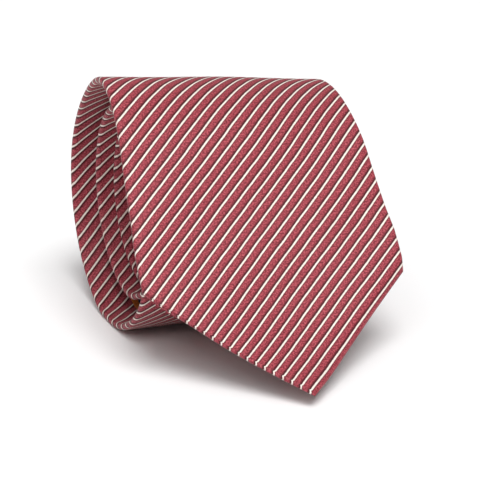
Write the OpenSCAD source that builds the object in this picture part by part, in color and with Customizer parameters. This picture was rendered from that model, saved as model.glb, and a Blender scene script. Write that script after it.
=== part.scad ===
// A necktie rolled up from its tail, standing on the roll with the wide blade
// brought over the top and down in front of it.
//
// The tie is laid out flat first: s runs along it from the blade's point, w
// runs across it (+w is +X), and t runs through it from the face to the back.
// place() then carries a flat point [s, w, t] on to the roll.

/* [Tie] */
// Length from the blade's point to the tail's point
tie_length = 1450; // [1400:10:1500]
// Width of the blade at its corners
blade_w = 80; // [74:1:84]
// Width at the narrowest, in the neck
neck_w = 38; // [34:1:42]
// Width of the tail at its corners
tail_w = 44; // [40:1:48]
// Where the neck is narrowest, from the blade's point
neck_at = 780; // [740:10:820]
// Seam between the blade panel and the neck panel, from the blade's point
first_seam = 640; // [600:10:680]
// Seam between the neck panel and the tail panel, from the blade's point
second_seam = 920; // [880:10:960]

/* [Layers] */
// Thickness of the silk
silk_t = 0.25; // [0.2:0.05:0.3]
// Thickness of the interlining
lining_t = 0.7; // [0.5:0.05:0.75]
// Thickness of the tipping
tipping_t = 0.15; // [0.1:0.05:0.2]
// Air between layers
ease = 0.04; // [0.03:0.01:0.05]

/* [Roll] */
// Outer radius of the roll
roll_r = 39; // [38:0.5:42]
// How much of the radius the flat at the upper front takes away
flat_share = 0.27; // [0.2:0.01:0.28]
// Direction of that flat, from straight up towards the back
flat_dir = -68; // [-72:1:-64]
// Extra radius lost between the outer turn and the next one
slack = 8; // [6:0.25:9]
// Extra radius lost between that turn and the one inside it
next_slack = 1.5; // [1:0.25:2]
// How far the inner turns sit behind the outer turn's centre
backward = 0.5; // [0.25:0.25:1]
// Radius of the last bend, at the roll's core
core_r = 3; // [2.5:0.25:3.5]
// How far the roll has settled on to its flat foot
settle = 1.6; // [1.4:0.05:1.8]
// Share of its height that the roll gains or loses at a corner of the blade
tilt = 0.04; // [0:0.01:0.05]

/* [Blade end] */
// How far the point reaches in front of the roll's centre
reach = 76; // [74:1:78]
// Height of the point above the surface
point_height = 4; // [3:0.5:6]
// Slope of the blade at its point
point_slope = 30; // [27:1:33]
// Where the blade leaves the roll, from straight up towards the back
leave_dir = -48; // [-50:1:-46]

/* [Trimmings] */
// Distance of the blade's bar tack from its point
tack_at = 82; // [78:1:84]
// Centre of the keeper loop, from the blade's point
keeper_at = 190; // [186:1:193]
// Centre of the woven label, from the blade's point
label_at = 212; // [208:1:218]
// Distance between slip stitches
stitch_gap = 12; // [10:1:15]

/* [Hidden] */
thick = 3 * silk_t + lining_t + 3 * ease;
under_flap_t = thick - silk_t - ease;       // back surface of the flap that lies underneath
lining_face = silk_t + ease;
lining_back = lining_face + lining_t;
tip_zone = 100;                             // the interlining is pressed thinner this far up the blade
tail_tip_zone = 80;
hem = 8;                                    // width of the folded hem at a corner
overlap = 8;                                // how far the under flap passes the middle
over_edge = 3;                              // how far the over flap passes the middle
tail_point = 0.25;                          // the tail's point, in the tight core, is blunter than the blade's
seam_w = 0.3;
thread_d = 0.2;
tail_tack_at = tie_length - 62;
lining_join = 750;
roll_y = (reach + sin(point_slope) * thick / 2 - roll_r) / 2;  // puts the middle of the depth at y = 0
step_deg = 15;                              // the outer turns are drawn in these steps
middle_step = 20;                           // the middle turns
middle_from = 540;
inner_step = 30;                            // and the small turns inside them
inner_from = 2520;
outer_r = roll_r - thick / 2;
inner_r = outer_r - slack - next_slack;
inner_flat = 0.4;                           // the inner turns keep this share of the flat
mean_flat = 1 - flat_share * inner_flat * 5 / 16;
outer_run = 242;                            // about what the blade, the outer turn and its slack take of the length
// Radius lost with each turn, so that the whole tie fits between inner_r and core_r
pitch = mean_flat * PI * (inner_r * inner_r - core_r * core_r) / (tie_length + 24 - outer_run);
last_deg = inner_step * floor((180 + 360 * (inner_r - core_r) / pitch) / inner_step);
blade_steps = 20;
lead_out = 61;                              // how strongly the blade holds the roll's tangent
lead_in = 12;                               // how strongly it holds the slope at its point
silk_rose = "#a8434f";
thread_rose = "#7d2b38";

// ---- The roll's profile, seen from its end ----

function smooth(x) = let (c = min(1, max(0, x))) c * c * (3 - 2 * c);
function slackened(a) = smooth((a - 190) / 105);
function slackened_next(a) = smooth((a - 540) / 160);
function flattened(a) =
    1 - flat_share * (1 - (1 - inner_flat) * slackened(a)) * pow((1 + cos(a - flat_dir)) / 2, 3);
function wound(a) = pitch * max(0, a - 195) / 360;
function turn_r(a) = (outer_r - wound(a) - slack * slackened(a) - next_slack * slackened_next(a)) * flattened(a);
function on_turn(a) = [
    roll_y + backward * slackened(a) + turn_r(a) * sin(a),
    max(thick / 2 + wound(a), roll_r - settle + turn_r(a) * cos(a))
];

function unit(v) = v / norm(v);
leave = on_turn(leave_dir);
leave_way = unit(on_turn(leave_dir) - on_turn(leave_dir + 1));
point_way = [-cos(point_slope), -sin(point_slope)];
point = [roll_y - reach, point_height];
function on_blade(u) =
    pow(1 - u, 3) * leave
    + 3 * pow(1 - u, 2) * u * (leave + leave_way * lead_out)
    + 3 * (1 - u) * u * u * (point - point_way * lead_in)
    + pow(u, 3) * point;

first_deg = step_deg * ceil((leave_dir + 5) / step_deg);
line = concat([for (i = [blade_steps:-1:0]) on_blade(i / blade_steps)],
              [for (a = [first_deg:step_deg:middle_from]) on_turn(a)],
              [for (a = [middle_from + middle_step:middle_step:inner_from]) on_turn(a)],
              [for (a = [inner_from + inner_step:inner_step:last_deg]) on_turn(a)]);
last = len(line) - 1;
// Running length along the line
run = [for (i = 0, s = 0; i <= last; s = s + (i < last ? norm(line[i + 1] - line[i]) : 0), i = i + 1) s];
// Unit normals that point out of the roll, to the silk's face: straight down on the flat foot
outward = [for (i = [0:last])
    let (way = unit(line[min(last, i + 1)] - line[max(0, i - 1)]))
    line[i][1] < thick / 2 + 0.001 ? [0, -1] : [-way[1], way[0]]];
y_table = [for (i = [0:last]) [run[i], line[i][0]]];
z_table = [for (i = [0:last]) [run[i], line[i][1]]];
ny_table = [for (i = [0:last]) [run[i], outward[i][0]]];
nz_table = [for (i = [0:last]) [run[i], outward[i][1]]];

function place(s, w, t) =
    let (n = unit([lookup(s, ny_table), lookup(s, nz_table)]), off = thick / 2 - t)
    [w, lookup(s, y_table) + n[0] * off, (lookup(s, z_table) + n[1] * off) * (1 - tilt * w / (blade_w / 2))];
// The slope of the tie at s, as a turn about X
function slope(s) = let (ny = lookup(s, ny_table), nz = lookup(s, nz_table)) atan2(-ny, nz);

// ---- The flat tie ----

function width(s) =
    s < blade_w / 2 ? blade_w
    : s < neck_at ? blade_w - (blade_w - neck_w) * (s - blade_w / 2) / (neck_at - blade_w / 2)
    : neck_w + (tail_w - neck_w) * min(1, (s - neck_at) / (tie_length - tail_w / 2 - neck_at));
// How much a station is bent to a point: 1 at the blade's point, and the other way at the tail's
function chevron(c) = max(0, 1 - c / 60) - tail_point * max(0, 1 - (tie_length - c) / 40);
// Station c meets the tie's width line w at this s
function station(c, w) = c + chevron(c) * abs(w);

// The flaps open towards the corners, which shows the tipping
function open_at(c) = c < tie_length / 2
    ? 1 - smooth((c - 12) / (tack_at - 16))
    : 1 - smooth((tie_length - c - 8) / 48);
function over_reach(c) = let (h = width(c) / 2) over_edge * (1 - open_at(c)) - (h - hem) * open_at(c);
function under_reach(c) = let (h = width(c) / 2) -overlap * (1 - open_at(c)) + (h - hem) * open_at(c);

// Rows of [w outside, t outside, t inside, w inside]
function wrap_rows(c) =
    let (h = width(c) / 2, r = thick / 2, over = over_reach(c), under = under_reach(c)) [
    [over, thick, thick - silk_t, over],
    [r - h, thick, thick - silk_t, r - h],
    [-h, r, r, silk_t - h],
    [r - h, 0, silk_t, r - h],
    [(r - h) / 2, 0, silk_t, (r - h) / 2],
    [0, 0, silk_t, 0],
    [(h - r) / 2, 0, silk_t, (h - r) / 2],
    [h - r, 0, silk_t, h - r],
    [h, r, r, h - silk_t],
    [h - r, under_flap_t, under_flap_t - silk_t, h - r],
    [under, under_flap_t, under_flap_t - silk_t, under]
];
function flat_rows(half, t0, t1, n = 2) = [for (k = [-n:n]) [k * half / n, t0, t1, k * half / n]];

// A sheet of cloth with thickness: rows across, one set at each station
module cloth(stations, rows) {
    ns = len(stations);
    nr = len(rows[0]);
    outside = [for (i = [0:ns - 1]) for (r = rows[i]) place(station(stations[i], r[0]), r[0], r[1])];
    inside = [for (i = [0:ns - 1]) for (r = rows[i]) place(station(stations[i], r[0]), r[3], r[2])];
    in0 = ns * nr;
    function o(i, j) = i * nr + j;
    polyhedron(
        points = concat(outside, inside),
        faces = concat(
            [for (i = [0:ns - 2]) for (j = [0:nr - 2]) for (f = [
                [o(i, j), o(i + 1, j + 1), o(i + 1, j)],
                [o(i, j), o(i, j + 1), o(i + 1, j + 1)],
                [in0 + o(i, j), in0 + o(i + 1, j), in0 + o(i + 1, j + 1)],
                [in0 + o(i, j), in0 + o(i + 1, j + 1), in0 + o(i, j + 1)]]) f],
            [for (i = [0:ns - 2]) for (j = [0, nr - 1]) for (f = j == 0
                ? [[o(i, j), o(i + 1, j), in0 + o(i + 1, j)], [o(i, j), in0 + o(i + 1, j), in0 + o(i, j)]]
                : [[o(i, j), in0 + o(i + 1, j), o(i + 1, j)], [o(i, j), in0 + o(i, j), in0 + o(i + 1, j)]]) f],
            [for (i = [0, ns - 1]) for (j = [0:nr - 2]) for (f = i == 0
                ? [[o(i, j), in0 + o(i, j + 1), o(i, j + 1)], [o(i, j), in0 + o(i, j), in0 + o(i, j + 1)]]
                : [[o(i, j), o(i, j + 1), in0 + o(i, j + 1)], [o(i, j), in0 + o(i, j + 1), in0 + o(i, j)]]) f]
        ),
        convexity = 10
    );
}

// Stations from c0 to c1: the line's own corners between them, and both ends
function stations(c0, c1) = concat([c0], [for (s = run) if (s > c0 + 1.5 && s < c1 - 1.5) s], [c1]);

module wrapped(c0, c1) {
    st = stations(c0, c1);
    cloth(st, [for (c = st) wrap_rows(c)]);
}

// The interlining is pressed thinner where the tipping lies on it
function lining_top(c) = lining_back - (tipping_t + ease) * (c < tip_zone || c > tie_length - tail_tip_zone ? 1 : 0);
module lined(c0, c1) {
    st = stations(c0, c1);
    cloth(st, [for (c = st) flat_rows(width(c) / 2 - silk_t - 0.8, lining_face, lining_top(c))]);
}

module tipped(c0, c1, narrow) {
    st = stations(c0, c1);
    cloth(st, [for (c = st) flat_rows(width(c) / 2 - narrow, lining_back - tipping_t, lining_back, 4)]);
}

module strip(c0, c1, half, t0, t1) {
    cloth([c0, c1], [for (c = [c0, c1]) flat_rows(half, t0, t1, 4)]);
}

// One straight stitch that lies on the back, along the tie or across it
module stitch(s, w, along, across, t = thick) {
    translate(place(s, w, t + ease + thread_d / 2))
        rotate([slope(s), 0, 0])
            cube([across, along, thread_d], center = true);
}

module bar_tack(s) {
    for (k = [-4:4]) stitch(s + k * 0.4, over_edge - 2, 0.3, 9);
}

// A band that lies across the back and bows away from it in the middle
module bowed_band(s, length, half, t, bow) {
    n = 8;
    st = stations(s - length / 2, s + length / 2);
    cloth(st, [for (c = st) [for (k = [-n:n])
        let (w = half * k / n, lift = bow * (1 - pow(k / n, 2)), t0 = thick + ease + lift)
        [w, t0 + t, t0, w]]]);
}

// ---- One module for each piece ----

module blade_shell() { color(silk_rose) wrapped(0, first_seam - seam_w / 2); }
module neck_shell() { color(silk_rose) wrapped(first_seam + seam_w / 2, second_seam - seam_w / 2); }
module tail_shell() { color(silk_rose) wrapped(second_seam + seam_w / 2, tie_length); }
module blade_neck_seam() { color(thread_rose) wrapped(first_seam - seam_w / 2, first_seam + seam_w / 2); }
module neck_tail_seam() { color(thread_rose) wrapped(second_seam - seam_w / 2, second_seam + seam_w / 2); }

module blade_interlining() { color("ivory") lined(2, lining_join - 1.5); }
module tail_interlining() { color("ivory") lined(lining_join + 1.5, tie_length - 2); }
module interlining_join() { color("white") lined(lining_join - 1.5, lining_join + 1.5); }

module blade_tipping() { color("#6d1f2b") tipped(1.5, tack_at + 10, 4); }
module tail_tipping() { color("#6d1f2b") tipped(tie_length - tail_tip_zone + 4, tie_length - 1.5, 4); }
module blade_tip_seam() { color(thread_rose) strip(0.1, 1.3, blade_w / 2 - 2, lining_face, lining_back); }
module tail_tip_seam() {
    color(thread_rose) strip(tie_length - 1.3, tie_length - 0.1, tail_w / 2 - 2, lining_face, lining_back);
}

module slip_stitch() {
    color(thread_rose)
        for (s = [tack_at + 20:stitch_gap:tail_tack_at - 8])
            if (abs(s - keeper_at) > 10 && abs(s - label_at) > 12) stitch(s, over_edge, 3, thread_d);
}
module blade_bar_tack() { color(thread_rose) bar_tack(tack_at); }
module tail_bar_tack() { color(thread_rose) bar_tack(tail_tack_at); }

module keeper_loop() { color(silk_rose) bowed_band(keeper_at, 13, 24, 0.5, 2.2); }
module keeper_tacks() {
    color(thread_rose)
        for (side = [-1, 1]) for (k = [-2:2]) stitch(keeper_at + k * 2.6, side * 22.8, 1.6, 0.35, thick + 0.85);
}
module brand_label() { color("#1f2c52") bowed_band(label_at, 18, 24.5, 0.3, 0.5); }
module label_stitches() {
    color("darkorange")
        for (side = [-1, 1]) for (k = [-3:3]) stitch(label_at + k * 2.4, side * 23.5, 1.5, 0.3, thick + 0.45);
}
module care_label() { color("whitesmoke") bowed_band(tie_length - 84, 14, 9, 0.2, 0); }
module care_stitches() {
    color("white")
        for (k = [-4:4]) stitch(tie_length - 89.5, k * 1.8, 0.3, 1.2, thick + 0.25);
}

blade_shell();
neck_shell();
tail_shell();
blade_neck_seam();
neck_tail_seam();
blade_interlining();
tail_interlining();
interlining_join();
blade_tipping();
tail_tipping();
blade_tip_seam();
tail_tip_seam();
slip_stitch();
blade_bar_tack();
tail_bar_tack();
keeper_loop();
keeper_tacks();
brand_label();
label_stitches();
care_label();
care_stitches();
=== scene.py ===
# A striped silk necktie, rolled up from its tail with the blade brought down in front.
#
# The tie is cut flat and then rolled. A flat place has three measures in
# millimetres: s along the tie from the blade's point, w across it (+w is +X), and
# t through it from the silk's face to the back. laid() rolls a flat place up.

import bisect
import math

import bmesh
import bpy
from mathutils import Matrix, Vector


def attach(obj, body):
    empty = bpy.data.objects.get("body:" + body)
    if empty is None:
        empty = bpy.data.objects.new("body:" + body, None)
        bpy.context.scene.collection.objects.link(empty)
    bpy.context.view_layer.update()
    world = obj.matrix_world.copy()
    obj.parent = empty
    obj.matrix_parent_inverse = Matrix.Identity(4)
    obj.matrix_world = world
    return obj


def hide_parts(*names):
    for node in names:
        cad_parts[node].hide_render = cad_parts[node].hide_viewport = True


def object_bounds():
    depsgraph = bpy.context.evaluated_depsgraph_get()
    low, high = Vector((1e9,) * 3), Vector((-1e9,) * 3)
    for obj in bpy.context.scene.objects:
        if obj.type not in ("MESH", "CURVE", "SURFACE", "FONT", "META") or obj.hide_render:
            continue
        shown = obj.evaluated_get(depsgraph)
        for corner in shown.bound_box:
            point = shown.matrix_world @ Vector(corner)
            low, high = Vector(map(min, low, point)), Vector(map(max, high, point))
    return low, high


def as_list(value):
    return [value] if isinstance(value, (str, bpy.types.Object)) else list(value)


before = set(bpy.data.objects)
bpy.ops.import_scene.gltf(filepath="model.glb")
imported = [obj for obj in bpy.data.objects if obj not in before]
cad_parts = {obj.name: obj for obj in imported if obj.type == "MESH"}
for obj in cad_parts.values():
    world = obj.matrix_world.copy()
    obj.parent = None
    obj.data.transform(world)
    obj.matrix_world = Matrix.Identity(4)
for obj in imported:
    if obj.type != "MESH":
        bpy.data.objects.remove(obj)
cad_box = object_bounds()

MM = 0.001

# ---- The tie's measures, as the part has them ----

TIE_LENGTH = 1450.0
BLADE_W = 80.0
NECK_W = 38.0
TAIL_W = 44.0
NECK_AT = 780.0
FIRST_SEAM = 640.0
SECOND_SEAM = 920.0
SILK_T = 0.25
LINING_T = 0.7
TIPPING_T = 0.15
EASE = 0.04
ROLL_R = 39.0
FLAT_SHARE = 0.27
FLAT_DIR = -68.0
SLACK = 8.0
NEXT_SLACK = 1.5
BACKWARD = 0.5
CORE_R = 3.0
SETTLE = 1.6
TILT = 0.04
REACH = 76.0
POINT_HEIGHT = 4.0
POINT_SLOPE = 30.0
LEAVE_DIR = -48.0
TACK_AT = 82.0
KEEPER_AT = 190.0
KEEPER_HALF = 24.0
KEEPER_DEEP = 13.0
LABEL_AT = 212.0
LABEL_HALF = 24.5
LABEL_DEEP = 18.0
LABEL_END_BORDER = 1.9
LABEL_SIDE_BORDER = 1.1
CARE_AT = TIE_LENGTH - 84
CARE_HALF = 9.0
CARE_DEEP = 14.0
STITCH_GAP = 12.0
SEAM_HALF = 0.15
LINING_JOIN = 750.0
LINING_JOIN_HALF = 1.5
TAIL_TACK_AT = TIE_LENGTH - 62

THICK = 3 * SILK_T + LINING_T + 3 * EASE
FOLD_R = THICK / 2
UNDER_FLAP_T = THICK - SILK_T - EASE
LINING_FACE = SILK_T + EASE
LINING_BACK = LINING_FACE + LINING_T
LINING_MIDDLE = (LINING_FACE + LINING_BACK) / 2
HEM = 8.0  # the folded hem's width at a corner
OVERLAP = 8.0  # how far the under flap passes the middle
OVER_EDGE = 3.0  # how far the over flap passes the middle
POINT_RUN = 60.0  # the stations straighten over this length, from the blade's point
TAIL_POINT_RUN = 40.0
BIAS_RUN = 60.0  # and slant over this length on each side of a seam
ROLL_Y = (REACH + math.sin(math.radians(POINT_SLOPE)) * THICK / 2 - ROLL_R) / 2
OUTER_R = ROLL_R - THICK / 2
INNER_R = OUTER_R - SLACK - NEXT_SLACK
INNER_FLAT = 0.4
MEAN_FLAT = 1 - FLAT_SHARE * INNER_FLAT * 5 / 16
OUTER_RUN = 242.0  # about what the blade, the outer turn and its slack take of the length
PITCH = MEAN_FLAT * math.pi * (INNER_R**2 - CORE_R**2) / (TIE_LENGTH + 24 - OUTER_RUN)
LAST_DEG = 15 * math.floor((180 + 360 * (INNER_R - CORE_R) / PITCH) / 15)
LEAD_OUT = 61.0  # how strongly the blade holds the roll's direction where it leaves it
LEAD_IN = 12.0  # how strongly it holds its slope at the point
PROFILE_STEP = 3  # degrees between the profile's points
BLADE_STEPS = 90


def spaced(first, last, count):
    """Places from first to last, with count equal gaps."""
    return [first + (last - first) * i / count for i in range(count + 1)]


def stepped(first, last, step):
    """Places from first, a step apart, up to last."""
    places = []
    while first <= last:
        places.append(first)
        first += step
    return places


# ---- The roll's profile, seen from its end ----


def smooth(x):
    """A soft step from 0 to 1."""
    c = min(1.0, max(0.0, x))
    return c * c * (3 - 2 * c)


def hump(x, centre, reach):
    """A soft bump of height 1."""
    return math.exp(-(((x - centre) / reach) ** 2) / 2)


def slackened(a):
    """How far the radius has dropped, as a share of the slack, at the angle a."""
    return smooth((a - 190) / 105)


def flattened(a):
    """The share of the radius that the flat at the upper front leaves."""
    towards = (1 + math.cos(math.radians(a - FLAT_DIR))) / 2
    return 1 - FLAT_SHARE * (1 - (1 - INNER_FLAT) * slackened(a)) * towards**3


def wound(a):
    """What the turns so far have taken off the radius."""
    return PITCH * max(0.0, a - 195) / 360


def turn_r(a):
    lost = wound(a) + SLACK * slackened(a) + NEXT_SLACK * smooth((a - 540) / 160)
    return (OUTER_R - lost) * flattened(a)


def on_turn(a):
    """The middle line at the angle a, from straight up towards the back."""
    way = math.radians(a)
    y = ROLL_Y + BACKWARD * slackened(a) + turn_r(a) * math.sin(way)
    z = max(THICK / 2 + wound(a), ROLL_R - SETTLE + turn_r(a) * math.cos(way))
    return Vector((y, z))


def on_blade(u):
    """The middle line of the free blade, from the roll at 0 to the point at 1."""
    leave = on_turn(LEAVE_DIR)
    leave_way = (on_turn(LEAVE_DIR) - on_turn(LEAVE_DIR + 1)).normalized()
    slope = math.radians(POINT_SLOPE)
    point_way = Vector((-math.cos(slope), -math.sin(slope)))
    point = Vector((ROLL_Y - REACH, POINT_HEIGHT))
    return (
        (1 - u) ** 3 * leave
        + 3 * (1 - u) ** 2 * u * (leave + leave_way * LEAD_OUT)
        + 3 * (1 - u) * u * u * (point - point_way * LEAD_IN)
        + u**3 * point
    )


def profile():
    """Running lengths, points and outward normals of the roll's middle line, from the blade's point."""
    line = [on_blade(i / BLADE_STEPS) for i in range(BLADE_STEPS, -1, -1)]
    line += [on_turn(a) for a in stepped(LEAVE_DIR + PROFILE_STEP, LAST_DEG, PROFILE_STEP)]
    run = [0.0]
    for i in range(1, len(line)):
        run.append(run[-1] + (line[i] - line[i - 1]).length)
    normals = []
    for i, here in enumerate(line):
        way = line[min(len(line) - 1, i + 1)] - line[max(0, i - 1)]
        flat_foot = here.y < THICK / 2 + 0.001
        normals.append(Vector((0, -1)) if flat_foot else Vector((-way.y, way.x)).normalized())
    return run, line, normals


RUN, LINE, NORMALS = profile()


def middle(s):
    """The middle line's point and normal at s."""
    i = min(len(RUN) - 2, max(0, bisect.bisect_right(RUN, s) - 1))
    k = min(1.0, max(0.0, (s - RUN[i]) / (RUN[i + 1] - RUN[i])))
    return LINE[i].lerp(LINE[i + 1], k), NORMALS[i].lerp(NORMALS[i + 1], k).normalized()


# ---- How the outer turn drapes, over the plain roll ----


CREST = 106.0  # where the blade goes over the crest, from its point
BELOW_CREST = 132.0  # where the left edge bends behind the crest
CAUGHT = 150.0  # from here on the cloth lies on the roll
TURNS_IN = 185.0  # and from here on it is under the roll
CURL_REACH = 3.2


def swell(s, w):
    """How far the outer turn's cloth stands out from the plain roll, in mm."""
    free = 1 - smooth((s - CAUGHT) / 30)
    left = smooth(-w / 38)
    right = smooth(w / 38)
    peak = 1.5 * left * hump(s, CREST, 9)
    pinch = -1.6 * left * hump(s, BELOW_CREST, 13)
    shoulder = -1.1 * right * hump(s, CREST, 20)
    ripple = math.sin((s * 0.74 - w * 0.67) / 4.6 + 0.8 * math.sin(w / 13))
    ripple += 0.6 * math.sin((s * 0.6 - w * 0.8) / 8.3 + 1.9)
    waves = 0.22 * (1 + ripple) * smooth((s - 4) / 26) * (1 - smooth((s - 84) / 24))
    lifted_edge = 0.9 * right * hump(s, 34, 22)
    lifted_side = 1.6 * hump(w, -20, 13) * hump(s, 20, 13)
    from_edge = (s - abs(w)) * math.sqrt(0.5)
    curled = -1.2 * smooth(w / 6) * (1 - smooth(from_edge / CURL_REACH))
    return free * (peak + pinch + shoulder + waves + lifted_edge + lifted_side + curled)


def spread(s, w):
    """How far the cloth's edge stands out sideways, in mm."""
    left = smooth(-w / 40)
    right = smooth(w / 40)
    drawn_in = 1.0 * left * hump(s, BELOW_CREST, 20)
    pushed_out = right * (1.0 * hump(s, 50, 16) - 1.9 * hump(s, 100, 22))
    return drawn_in + pushed_out


def raised(s, y, z):
    """How far the roll's front rises off the surface as it turns in, in mm."""
    if s < TURNS_IN:
        return 0.0
    return 2.6 * smooth((21 - y) / 14) * (1 - smooth(z / 28))


def laid(s, w, t):
    """The flat place s, w, t, rolled up: a point in metres."""
    at, normal = middle(s)
    out = THICK / 2 - t + swell(s, w)
    y = at.x + normal.x * out
    z = (at.y + normal.y * out) * (1 - TILT * w / (BLADE_W / 2))
    return Vector((w + spread(s, w), y, z + raised(s, y, z))) * MM


def width(s):
    """The tie's width at s."""
    if s < BLADE_W / 2:
        return BLADE_W
    if s < NECK_AT:
        return BLADE_W - (BLADE_W - NECK_W) * (s - BLADE_W / 2) / (NECK_AT - BLADE_W / 2)
    return NECK_W + (TAIL_W - NECK_W) * min(1, (s - NECK_AT) / (TIE_LENGTH - TAIL_W / 2 - NECK_AT))


def chevron(c):
    """How much a station is bent to a point: 1 at the blade's, and -1 at the tail's."""
    return max(0, 1 - c / POINT_RUN) - max(0, 1 - (TIE_LENGTH - c) / TAIL_POINT_RUN)


def bias(c):
    """How much a station slants: 1 at the two seams."""
    return max(0, 1 - abs(c - FIRST_SEAM) / BIAS_RUN) + max(0, 1 - abs(c - SECOND_SEAM) / BIAS_RUN)


def station(c, w, across):
    """Where station c, bent to a point at the tips and slanted at the seams, meets the line w."""
    return c + chevron(c) * abs(w) + bias(c) * across


def open_at(c):
    """How far the flaps stand open at station c: 1 at the points and 0 between the bar tacks."""
    if c < TIE_LENGTH / 2:
        return 1 - smooth((c - 12) / (TACK_AT - 16))
    return 1 - smooth((TIE_LENGTH - c - 8) / 48)


# ---- Cloth made flat on a grid, and then rolled ----


def sheet_mesh(name, stations, rows_at, thickness, material, offset=-1.0):
    """A grid of stations by rows. rows_at(station) gives [s, w, t, across, along] for each row.
    The last two are the cloth's own flat measures, which become its UV map."""
    across = len(rows_at(stations[0])) - 1
    along = len(stations) - 1
    bm = bmesh.new()
    bmesh.ops.create_grid(bm, x_segments=across, y_segments=along, size=1)
    uv = bm.loops.layers.uv.new("cloth")
    flat = {}
    rows = [rows_at(c) for c in stations]
    for v in bm.verts:
        j = round((v.co.x + 1) / 2 * across)
        i = round((v.co.y + 1) / 2 * along)
        s, w, t, flat_across, flat_along = rows[i][j]
        flat[v.index] = (flat_across * MM, flat_along * MM)
        v.co = laid(s, w, t)
    for face in bm.faces:
        face.smooth = True
        for loop in face.loops:
            loop[uv].uv = flat[loop.vert.index]
    for edge in bm.edges:
        edge.smooth = not edge.is_boundary
    bmesh.ops.reverse_faces(bm, faces=bm.faces)
    return finished(bm, name, material, thickness, offset)


def finished(bm, name, material, thickness=0.0, offset=-1.0):
    """The object, with a live thickness where it is a cloth."""
    mesh = bpy.data.meshes.new(name)
    bm.to_mesh(mesh)
    bm.free()
    mesh.materials.append(material)
    piece = bpy.data.objects.new(name, mesh)
    bpy.context.scene.collection.objects.link(piece)
    if thickness:
        solid = piece.modifiers.new("thickness", "SOLIDIFY")
        solid.thickness = thickness * MM
        solid.offset = offset
        solid.use_even_offset = False
    return piece


def wrap_rows(c, front, flap, fold):
    """The silk's section at station c: over flap, fold, front, fold, under flap, as [w, t, across]."""
    h = width(c) / 2
    side = h - FOLD_R
    opened = open_at(c)
    over = OVER_EDGE * (1 - opened) - (h - HEM) * opened
    under = -OVERLAP * (1 - opened) + (h - HEM) * opened
    turned = math.pi * FOLD_R
    rows = []
    for w in spaced(over, -side, flap)[:-1]:
        rows.append((w, THICK, -side - turned - (w + side)))
    for k in range(fold + 1):
        turn = math.pi * (1 - k / fold)
        rows.append((-side - FOLD_R * math.sin(turn), FOLD_R * (1 - math.cos(turn)), -side - FOLD_R * turn))
    for w in spaced(-side, side, front)[1:-1]:
        rows.append((w, 0.0, w))
    depth = UNDER_FLAP_T / 2
    for k in range(fold + 1):
        turn = math.pi * k / fold
        rows.append((side + FOLD_R * math.sin(turn), depth * (1 - math.cos(turn)), side + FOLD_R * turn))
    for w in spaced(side, under, flap)[1:]:
        rows.append((w, UNDER_FLAP_T, side + turned + (side - w)))
    return rows


def wrapped(front, flap, fold):
    """The rows of a silk panel, with this many steps in its front, its flaps and its folds."""

    def rows_at(c):
        rows = []
        for w, t, across in wrap_rows(c, front, flap, fold):
            s = station(c, w, across)
            rows.append((s, w, t, across, s))
        return rows

    return rows_at


HEM_FOLD_R = (THICK - 0.35) / 2
HEM_FACE = 1.2  # rows nearer to the front than this turn under with the hem


def blade_rows(front, flap, fold):
    """As wrapped(), with the point's hem before the first station: station -k is the hem at k."""
    plain = wrapped(front, flap, fold)

    def rows_at(c):
        if c >= 0:
            return plain(c)
        turn = min(math.pi, -c)
        inset = HEM_FOLD_R * (1 - math.sin(turn)) + max(0.0, -c - math.pi)
        beyond = HEM_FOLD_R * (turn - 1) + max(0.0, -c - math.pi)
        rows = []
        for w, t, across in wrap_rows(0.0, front, flap, fold):
            back = max(0.0, HEM_FACE - t) / HEM_FACE
            hem_t = t + (back * 2 * HEM_FOLD_R - (1 - back) * 0.3) * (1 - math.cos(turn)) / 2
            s = abs(w) + math.sqrt(2) * inset
            side = 1 if w > 0 else -1
            slide = math.sqrt(0.5) * beyond
            rows.append((s, w, hem_t, across + side * slide, abs(w) - slide))
        return rows

    return rows_at


def flat_rows(narrow, t, count):
    """The rows of a flat layer that is narrower than the tie on each side."""

    def rows_at(c):
        half = width(c) / 2 - narrow
        return [(station(c, w, w), w, t, w, c) for w in spaced(-half, half, count)]

    return rows_at


def band_rows(half, bow, count):
    """The rows of a band across the back, which bows away from it in the middle."""

    def rows_at(s):
        rows = []
        for w in spaced(-half, half, count):
            t = THICK + EASE + bow * (1 - (w / half) ** 2)
            rows.append((s, w, t, w, s))
        return rows

    return rows_at


# ---- Thread ----


def thread_piece(name, places, thread_d, material):
    """Stitches at places of [s, w, t, length, turned]: turned is 0 along the tie and 90 across it."""
    bm = bmesh.new()
    for s, w, t, length, turned in places:
        here = laid(s, w, t)
        along = (laid(s + 0.5, w, t) - laid(s - 0.5, w, t)).normalized()
        across = Vector((1, 0, 0))
        up = across.cross(along).normalized()
        across = along.cross(up).normalized()
        turn = math.radians(turned)
        lie = along * math.cos(turn) + across * math.sin(turn)
        side = lie.cross(up)
        frame_of = Matrix((side, lie, up)).transposed().to_4x4()
        size = Matrix.Diagonal((thread_d * MM / 2, length * MM / 2, thread_d * MM / 2, 1))
        grown = bmesh.ops.create_uvsphere(bm, u_segments=6, v_segments=6, radius=1)
        matrix = Matrix.Translation(here) @ frame_of @ size @ Matrix.Rotation(math.pi / 2, 4, "X")
        bmesh.ops.transform(bm, matrix=matrix, verts=grown["verts"])
    bmesh.ops.recalc_face_normals(bm, faces=bm.faces)
    for face in bm.faces:
        face.smooth = True
    return finished(bm, name, material)


# ---- Materials ----


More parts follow.
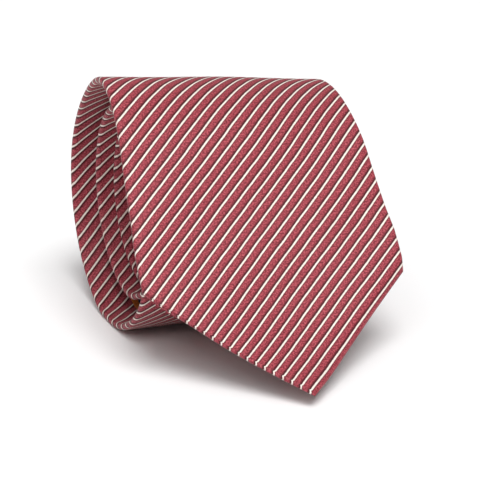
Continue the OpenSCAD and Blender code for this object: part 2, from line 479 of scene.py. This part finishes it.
class Cloth:
    """A material that is built up node by node."""

    def __init__(self, name, roughness, sheen, specular=0.3):
        self.material = bpy.data.materials.new(name)
        self.material.use_nodes = True
        self.tree = self.material.node_tree
        self.shader = self.tree.nodes["Principled BSDF"]
        self.shader.inputs["Roughness"].default_value = roughness
        self.shader.inputs["Sheen Weight"].default_value = sheen
        self.shader.inputs["Sheen Roughness"].default_value = 0.4
        self.shader.inputs["Specular IOR Level"].default_value = specular

    def node(self, kind, **values):
        made = self.tree.nodes.new(kind)
        for key, value in values.items():
            setattr(made, key, value)
        return made

    def link(self, out, into):
        self.tree.links.new(out, into)

    def math(self, operation, first, second=None, third=None):
        made = self.node("ShaderNodeMath", operation=operation)
        for socket, value in zip(made.inputs, (first, second, third)):
            if value is None:
                continue
            if isinstance(value, (int, float)):
                socket.default_value = value
            else:
                self.link(value, socket)
        return made.outputs[0]

    def flat_measures(self):
        """The cloth's own measures, across and along, in mm."""
        uv = self.node("ShaderNodeUVMap", uv_map="cloth")
        scaled = self.node("ShaderNodeVectorMath", operation="SCALE")
        scaled.inputs["Scale"].default_value = 1000
        self.link(uv.outputs["UV"], scaled.inputs[0])
        parts = self.node("ShaderNodeSeparateXYZ")
        self.link(scaled.outputs[0], parts.inputs[0])
        return scaled.outputs[0], parts.outputs["X"], parts.outputs["Y"]

    def object_measures(self):
        """The place on the object, in mm."""
        place = self.node("ShaderNodeTexCoord")
        scaled = self.node("ShaderNodeVectorMath", operation="SCALE")
        scaled.inputs["Scale"].default_value = 1000
        self.link(place.outputs["Object"], scaled.inputs[0])
        return scaled.outputs[0]

    def ribs(self, value, gap):
        """A wave that repeats with this gap, in mm."""
        return self.math("SINE", self.math("MULTIPLY", value, 2 * math.pi / gap))

    def noise(self, vector, size, detail=2.0, rough=0.5):
        made = self.node("ShaderNodeTexNoise")
        made.inputs["Scale"].default_value = 1 / size
        made.inputs["Detail"].default_value = detail
        made.inputs["Roughness"].default_value = rough
        self.link(vector, made.inputs["Vector"])
        return made.outputs["Fac"]

    def ramp(self, value, stops):
        made = self.node("ShaderNodeValToRGB")
        band = made.color_ramp
        while len(band.elements) < len(stops):
            band.elements.new(0.5)
        for element, (position, colour) in zip(band.elements, stops):
            element.position = position
            element.color = (*colour, 1)
        self.link(value, made.inputs["Fac"])
        return made.outputs["Color"]

    def mix(self, share, first, second, blend="MIX"):
        made = self.node("ShaderNodeMix", data_type="RGBA", blend_type=blend)
        for socket, value in ((made.inputs[0], share), (made.inputs[6], first), (made.inputs[7], second)):
            if isinstance(value, (int, float)):
                socket.default_value = value
            elif isinstance(value, tuple):
                socket.default_value = (*value, 1)
            else:
                self.link(value, socket)
        return made.outputs[2]

    def colour(self, value):
        self.link(value, self.shader.inputs["Base Color"])

    def bump(self, height, distance, strength=1.0):
        made = self.node("ShaderNodeBump")
        made.inputs["Distance"].default_value = distance * MM
        made.inputs["Strength"].default_value = strength
        self.link(height, made.inputs["Height"])
        self.link(made.outputs["Normal"], self.shader.inputs["Normal"])


STRIPE_GAP = 2.88
ROSE = (0.30, 0.040, 0.056)
ROSE_LIGHT = (0.53, 0.105, 0.128)
ROSE_DARK = (0.13, 0.012, 0.019)
MAROON = (0.065, 0.007, 0.011)
OFF_WHITE = (0.88, 0.79, 0.72)
OFF_WHITE_DARK = (0.72, 0.62, 0.56)
NAVY = (0.016, 0.028, 0.085)
NAVY_DARK = (0.006, 0.011, 0.035)
ORANGE = (0.85, 0.26, 0.03)
ORANGE_DARK = (0.55, 0.13, 0.01)


def silk():
    """Rose silk with fine off-white stripes on the bias, each with a maroon line along it."""
    cloth = Cloth("striped_silk", roughness=0.5, sheen=0.05, specular=0.2)
    flat, across, along = cloth.flat_measures()
    diagonal = cloth.math("MULTIPLY", cloth.math("SUBTRACT", along, across), math.sqrt(0.5))
    length = cloth.math("MULTIPLY", cloth.math("ADD", along, across), math.sqrt(0.5))
    wander = cloth.math("MULTIPLY", cloth.math("SUBTRACT", cloth.noise(flat, 9.0), 0.5), 0.35)
    fray = cloth.math("MULTIPLY", cloth.math("SUBTRACT", cloth.noise(flat, 0.45, 1.0), 0.5), 0.16)
    moved = cloth.math("ADD", cloth.math("ADD", diagonal, wander), fray)
    phase = cloth.math("FRACT", cloth.math("DIVIDE", moved, STRIPE_GAP))
    speckle = cloth.noise(flat, 0.52, 2.0, 0.7)
    ground = cloth.ramp(speckle, [(0.34, ROSE_DARK), (0.5, ROSE), (0.66, ROSE_LIGHT)])
    lines = cloth.ramp(
        phase,
        [
            (0.25, (0, 0, 0)),
            (0.35, (0.6, 0.6, 0.6)),
            (0.40, (0.6, 0.6, 0.6)),
            (0.60, (1, 1, 1)),
            (0.71, (1, 1, 1)),
            (0.87, (0, 0, 0)),
        ],
    )
    shaded = cloth.mix(lines, ground, MAROON)
    white = cloth.ramp(
        phase, [(0.385, (0, 0, 0)), (0.425, (1, 1, 1)), (0.565, (1, 1, 1)), (0.605, (0, 0, 0))]
    )
    thread_shade = cloth.ramp(cloth.noise(flat, 0.5, 1.0), [(0.3, OFF_WHITE_DARK), (0.6, OFF_WHITE)])
    cloth.colour(cloth.mix(white, shaded, thread_shade))
    rib = cloth.ribs(length, 0.42)
    weft = cloth.ribs(diagonal, 0.36)
    weave = cloth.math("MULTIPLY", cloth.math("ADD", rib, weft), 0.12)
    raised = cloth.math("ADD", cloth.math("MULTIPLY", white, 0.6), cloth.math("MULTIPLY", speckle, 0.9))
    cloth.bump(cloth.math("ADD", weave, raised), 0.10)
    return cloth.material


def plain_weave(name, colour, dark, gap, roughness, sheen, depth=0.06):
    """A plain woven cloth: warp and weft threads a gap apart, with a little colour variation."""
    cloth = Cloth(name, roughness, sheen)
    flat, across, along = cloth.flat_measures()
    warp = cloth.ribs(across, gap)
    weft = cloth.ribs(along, gap)
    weave = cloth.math("MULTIPLY_ADD", cloth.math("MULTIPLY", warp, weft), 0.5, 0.5)
    mottle = cloth.noise(flat, 1.2, 3.0)
    share = cloth.math("MULTIPLY_ADD", weave, 0.4, cloth.math("MULTIPLY", mottle, 0.6))
    cloth.colour(cloth.ramp(share, [(0.25, dark), (0.7, colour)]))
    cloth.bump(cloth.math("ADD", weave, mottle), depth)
    return cloth.material


def twill(name, colour, dark, gap, roughness, sheen):
    """A lining cloth with fine diagonal ribs."""
    cloth = Cloth(name, roughness, sheen, specular=0.5)
    flat, across, along = cloth.flat_measures()
    slant = cloth.math("ADD", across, along)
    rib = cloth.ribs(slant, gap)
    mottle = cloth.noise(flat, 2.0, 3.0)
    share = cloth.math("MULTIPLY_ADD", rib, 0.2, cloth.math("MULTIPLY_ADD", mottle, 0.5, 0.25))
    cloth.colour(cloth.ramp(share, [(0.3, dark), (0.75, colour)]))
    cloth.bump(rib, 0.03)
    return cloth.material


def woven_label():
    """Navy satin with an orange line woven round its edge, and no lettering."""
    cloth = Cloth("navy_label", roughness=0.4, sheen=0.2, specular=0.5)
    flat, across, along = cloth.flat_measures()
    weft = cloth.ribs(along, 0.25)
    mottle = cloth.noise(flat, 0.5, 2.0)
    share = cloth.math("MULTIPLY_ADD", weft, 0.15, mottle)
    ground = cloth.ramp(share, [(0.3, NAVY_DARK), (0.7, NAVY)])
    end = cloth.math("GREATER_THAN", cloth.math("ABSOLUTE", across), LABEL_HALF - LABEL_END_BORDER)
    offset = cloth.math("ABSOLUTE", cloth.math("SUBTRACT", along, LABEL_AT))
    edge = cloth.math("GREATER_THAN", offset, LABEL_DEEP / 2 - LABEL_SIDE_BORDER)
    border = cloth.math("MAXIMUM", end, edge)
    orange = cloth.ramp(share, [(0.3, ORANGE_DARK), (0.7, ORANGE)])
    cloth.colour(cloth.mix(border, ground, orange))
    cloth.bump(share, 0.04)
    return cloth.material


def thread(name, colour, dark):
    """Twisted sewing thread."""
    cloth = Cloth(name, roughness=0.45, sheen=0.3, specular=0.4)
    place = cloth.object_measures()
    twist = cloth.node("ShaderNodeTexWave", bands_direction="DIAGONAL")
    twist.inputs["Scale"].default_value = 3.0
    twist.inputs["Distortion"].default_value = 1.5
    cloth.link(place, twist.inputs["Vector"])
    cloth.colour(cloth.ramp(twist.outputs["Fac"], [(0.1, dark), (0.8, colour)]))
    cloth.bump(twist.outputs["Fac"], 0.03)
    return cloth.material


SILK = silk()
INTERLINING = plain_weave("wool_interlining", (0.80, 0.74, 0.62), (0.55, 0.48, 0.37), 0.9, 0.9, 0.6, 0.15)
TIPPING = twill("burgundy_tipping", (0.20, 0.018, 0.030), (0.09, 0.008, 0.014), 0.5, 0.35, 0.2)
CARE_TAPE = plain_weave("white_tape", (0.86, 0.86, 0.84), (0.66, 0.66, 0.64), 0.4, 0.5, 0.2)
LABEL = woven_label()
ROSE_THREAD = thread("rose_thread", (0.33, 0.035, 0.050), (0.13, 0.012, 0.020))
ORANGE_THREAD = thread("orange_thread", (0.80, 0.22, 0.03), (0.45, 0.10, 0.01))
WHITE_THREAD = thread("white_thread", (0.85, 0.84, 0.80), (0.55, 0.54, 0.50))


# ---- What each piece stands for ----


def placed(piece, slot, *nodes):
    """The piece rides on the one body, and stands for these nodes."""
    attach(piece, "root")
    if nodes:
        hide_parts(*nodes)
    return piece


# ---- The silk ----

FINE = (34, 9, 7)  # steps in the front, a flap and a fold
COARSE = (16, 6, 5)
# The hem under the blade's point, its fold, and the cloth just above it
hem_stations = [-(math.pi + x) for x in (6.5, 4.5, 2.5, 1.0)] + [-math.pi * k / 6 for k in range(6, 0, -1)]
near_point = [math.sqrt(2) * HEM_FOLD_R, 2, 3.5, 5, 7]
blade_stations = hem_stations + near_point + spaced(9, 230, 110)
blade_stations += spaced(232.2, FIRST_SEAM - SEAM_HALF, 170)
neck_stations = spaced(FIRST_SEAM + SEAM_HALF, SECOND_SEAM - SEAM_HALF, 130)
tail_stations = spaced(SECOND_SEAM + SEAM_HALF, TIE_LENGTH - 0.5, 300)

blade_silk = sheet_mesh("blade_silk", blade_stations, blade_rows(*FINE), SILK_T, SILK)
neck_silk = sheet_mesh("neck_silk", neck_stations, wrapped(*COARSE), SILK_T, SILK)
tail_silk = sheet_mesh("tail_silk", tail_stations, wrapped(*COARSE), SILK_T, SILK)
placed(blade_silk, "silk", "blade_shell")
placed(neck_silk, "silk", "neck_shell")
placed(tail_silk, "silk", "tail_shell")


def seam_line(name, at, node):
    """The panel seam's stitches, in the groove between the two panels' silk."""
    half = width(at) / 2 - FOLD_R
    places = [(station(at, w, w), w, 0.16, 1.2, 45) for w in stepped(-half, half, 1.3)]
    return placed(thread_piece(name, places, 0.16, ROSE_THREAD), "thread", node)


seam_line("blade_neck_stitches", FIRST_SEAM, "blade_neck_seam")
seam_line("neck_tail_stitches", SECOND_SEAM, "neck_tail_seam")

# ---- The interlining and the tipping ----

LINING_NARROW = SILK_T + 0.9


def lining(name, c0, c1, step):
    stations = spaced(c0, c1, round((c1 - c0) / step))
    rows = flat_rows(LINING_NARROW, LINING_MIDDLE, 12)
    return sheet_mesh(name, stations, rows, LINING_T - 0.05, INTERLINING, 0.0)


lining_blade = lining("interlining_blade", 3.0, LINING_JOIN - LINING_JOIN_HALF, 3)
placed(lining_blade, "interlining", "blade_interlining")
lining_tail = lining("interlining_tail", LINING_JOIN + LINING_JOIN_HALF, TIE_LENGTH - 4, 2.2)
placed(lining_tail, "interlining", "tail_interlining")
join_places = [(LINING_JOIN, k * 1.2, LINING_MIDDLE, 3.4, 20 if k % 2 else -20) for k in range(-14, 15)]
placed(thread_piece("interlining_zigzag", join_places, 0.3, WHITE_THREAD), "white_thread", "interlining_join")


def tipping(name, c0, c1):
    stations = spaced(c0, c1, round((c1 - c0) / 2.5))
    return sheet_mesh(name, stations, flat_rows(4.5, LINING_BACK - 0.05, 20), TIPPING_T, TIPPING, 0.0)


blade_tipping = tipping("blade_tipping_cloth", 6.0, TACK_AT + 10)
placed(blade_tipping, "tipping", "blade_tipping")
tail_tipping = tipping("tail_tipping_cloth", TIE_LENGTH - 76, TIE_LENGTH - 3)
placed(tail_tipping, "tipping", "tail_tipping")


def tip_stitches(name, from_point, half):
    """Small stitches that hold the hem along both sides of a point."""
    places = []
    for w in stepped(-half, half, 2.2):
        slant = 45 if w < 0 else -45
        places.append((from_point(abs(w)), w, LINING_BACK + 0.08, 1.1, slant))
    return thread_piece(name, places, 0.18, ROSE_THREAD)


placed(tip_stitches("blade_tip_stitches", lambda w: w + 6.4, 33), "thread", "blade_tip_seam")
placed(tip_stitches("tail_tip_stitches", lambda w: TIE_LENGTH - 5 - w, 17), "thread", "tail_tip_seam")

# ---- Slip stitching, bar tacks, keeper and labels ----

slip_places = []
for s in stepped(TACK_AT + 20, TAIL_TACK_AT - 8, STITCH_GAP):
    if abs(s - KEEPER_AT) > 10 and abs(s - LABEL_AT) > 12:
        slip_places.append((s, OVER_EDGE, THICK + 0.06, 3.0, 12))
placed(thread_piece("slip_stitches", slip_places, 0.22, ROSE_THREAD), "thread", "slip_stitch")


def bar_tack(name, at):
    """A row of long stitches across the join of the flaps, bound over along their middle."""
    places = [(at + k * 0.32, OVER_EDGE - 2 + 0.2 * (k % 2), THICK + 0.08, 9, 90) for k in range(-5, 6)]
    places += [(at, OVER_EDGE - 2 + k * 0.9, THICK + 0.2, 3.9, 0) for k in range(-4, 5)]
    return thread_piece(name, places, 0.3, ROSE_THREAD)


placed(bar_tack("blade_tack", TACK_AT), "thread", "blade_bar_tack")
placed(bar_tack("tail_tack", TAIL_TACK_AT), "thread", "tail_bar_tack")

def band(name, at, deep, steps, rows, thickness, material):
    """A band across the back, with its middle at this place."""
    stations = spaced(at - deep / 2, at + deep / 2, steps)
    return sheet_mesh(name, stations, rows, thickness, material, 1.0)


def end_stitches(at, gap, count, half, out, length):
    """Stitches in a row at both ends of a band, 2 x count + 1 at each."""
    return [
        (at + k * gap, side * half, THICK + out, length, 90)
        for side in (-1, 1)
        for k in range(-count, count + 1)
    ]


keeper = band("keeper_band", KEEPER_AT, KEEPER_DEEP, 8, band_rows(KEEPER_HALF, 2.2, 32), 0.5, SILK)
placed(keeper, "silk", "keeper_loop")
keeper_places = end_stitches(KEEPER_AT, 1.3, 4, KEEPER_HALF - 1.2, 0.95, 1.5)
keeper_threads = thread_piece("keeper_stitches", keeper_places, 0.25, ROSE_THREAD)
placed(keeper_threads, "thread", "keeper_tacks")

label = band("woven_label", LABEL_AT, LABEL_DEEP, 10, band_rows(LABEL_HALF, 0.5, 32), 0.3, LABEL)
placed(label, "label", "brand_label")
label_places = end_stitches(LABEL_AT, 1.6, 5, LABEL_HALF - 1, 0.45, 1.4)
label_threads = thread_piece("label_threads", label_places, 0.22, ORANGE_THREAD)
placed(label_threads, "label_edge", "label_stitches")

care = band("care_tape", CARE_AT, CARE_DEEP, 8, band_rows(CARE_HALF, 0.0, 10), 0.2, CARE_TAPE)
placed(care, "care_tape", "care_label")
care_places = [(CARE_AT - 5.5, k * 1.8, THICK + 0.28, 1.3, 90) for k in range(-4, 5)]
care_threads = thread_piece("care_threads", care_places, 0.2, WHITE_THREAD)
placed(care_threads, "white_thread", "care_stitches")


# ---- The cloths' cut sizes ----


def cut_area(piece):
    """The flat area of the cloth, from its own flat measures, in square metres."""
    uv = piece.data.uv_layers["cloth"].data
    total = 0.0
    for face in piece.data.polygons:
        corners = [Vector(uv[i].uv) for i in face.loop_indices]
        twice = sum(a.cross(b) for a, b in zip(corners, corners[1:] + corners[:1]))
        total += abs(twice) / 2
    return total


def cloth(piece, flat, held, rests_on=(), with_pieces=()):
    cut_area(piece)
    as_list(rests_on)
    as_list(with_pieces)


cloth(blade_silk, (0.188, 0.740), "folded", ["interlining_blade"])
cloth(neck_silk, (0.105, 0.400), "folded", ["interlining_blade"])
cloth(tail_silk, (0.105, 0.640), "folded", ["interlining_tail"])
cloth(lining_blade, (0.0777, 0.748), "folded", ["blade_silk"])
cloth(lining_tail, (0.042, 0.696), "folded", ["tail_silk"])
cloth(blade_tipping, (0.071, 0.088), "laid", ["interlining_blade"])
cloth(tail_tipping, (0.0365, 0.074), "laid", ["interlining_tail"])
cloth(keeper, (0.048, 0.013), "stretched", ["blade_silk"], [keeper_threads])
cloth(label, (0.049, 0.018), "laid", ["blade_silk"], [label_threads])
cloth(care, (0.018, 0.014), "laid", ["tail_silk"], [care_threads])


# ---- Floor, light and camera ----

FLOOR_HALF = 4
FLOOR_GAP = 0.0002
PALE = (0.96, 0.96, 0.96, 1)
CAMERA_TURNED = math.radians(21.212)
CAMERA_ABOVE = math.radians(19.015)
CAMERA_ROLLED = math.radians(-1.301)
CAMERA_TARGET = Vector((0, 0.0037, 0.037))
CAMERA_AWAY = 0.70


def floor():
    bm = bmesh.new()
    bmesh.ops.create_grid(bm, x_segments=1, y_segments=1, size=FLOOR_HALF)
    surface = bpy.data.materials.new("pale_floor")
    surface.use_nodes = True
    shader = surface.node_tree.nodes["Principled BSDF"]
    shader.inputs["Base Color"].default_value = PALE
    shader.inputs["Roughness"].default_value = 0.9
    piece = finished(bm, "studio_floor", surface)
    piece.location.z = cad_box[0][2] - FLOOR_GAP


def area_light(name, place, target, size, power):
    lamp = bpy.data.lights.new(name, "AREA")
    lamp.size = size
    lamp.energy = power
    piece = bpy.data.objects.new(name, lamp)
    piece.location = place
    piece.rotation_euler = (Vector(target) - Vector(place)).to_track_quat("-Z", "Y").to_euler()
    bpy.context.scene.collection.objects.link(piece)


def sun(name, place, power, softness):
    lamp = bpy.data.lights.new(name, "SUN")
    lamp.energy = power
    lamp.angle = math.radians(softness)
    piece = bpy.data.objects.new(name, lamp)
    piece.rotation_euler = Vector(place).to_track_quat("Z", "Y").to_euler()
    bpy.context.scene.collection.objects.link(piece)


def camera():
    """The camera stands to the left in front of the tie, a little above it."""
    level = math.cos(CAMERA_ABOVE)
    ahead = Vector(
        (math.sin(CAMERA_TURNED) * level, math.cos(CAMERA_TURNED) * level, -math.sin(CAMERA_ABOVE))
    )
    right = Vector((math.cos(CAMERA_TURNED), -math.sin(CAMERA_TURNED), 0))
    up = right.cross(ahead)
    right_rolled = right * math.cos(CAMERA_ROLLED) - up * math.sin(CAMERA_ROLLED)
    up_rolled = right * math.sin(CAMERA_ROLLED) + up * math.cos(CAMERA_ROLLED)
    lens = bpy.data.cameras.new("camera")
    lens.sensor_width = 36
    lens.lens = 175.8
    lens.shift_y = -0.0484
    lens.clip_end = 20
    piece = bpy.data.objects.new("camera", lens)
    facing = Matrix((right_rolled, up_rolled, -ahead)).transposed().to_4x4()
    piece.matrix_world = Matrix.Translation(CAMERA_TARGET - ahead * CAMERA_AWAY) @ facing
    bpy.context.scene.collection.objects.link(piece)
    bpy.context.scene.camera = piece


def surroundings():
    """A soft room that is bright above and dim low down."""
    world = bpy.data.worlds.new("studio")
    world.use_nodes = True
    tree = world.node_tree
    facing = tree.nodes.new("ShaderNodeTexCoord")
    parts = tree.nodes.new("ShaderNodeSeparateXYZ")
    tree.links.new(facing.outputs["Generated"], parts.inputs[0])
    ramp = tree.nodes.new("ShaderNodeMapRange")
    tree.links.new(parts.outputs["Z"], ramp.inputs["Value"])
    ramp.inputs["From Min"].default_value = 0.1
    ramp.inputs["From Max"].default_value = 0.7
    ramp.inputs["To Min"].default_value = 0.10
    ramp.inputs["To Max"].default_value = 0.46
    tree.nodes["Background"].inputs["Color"].default_value = (1, 1, 1, 1)
    tree.links.new(ramp.outputs[0], tree.nodes["Background"].inputs["Strength"])
    bpy.context.scene.world = world
    bpy.context.scene.view_settings.view_transform = "Standard"


floor()
sun("daylight", (-0.06, -0.52, 0.84), 2.5, 30)
area_light("key", (-0.30, -0.42, 0.46), (0, 0, 0.04), 0.25, 0.8)
surroundings()
camera()
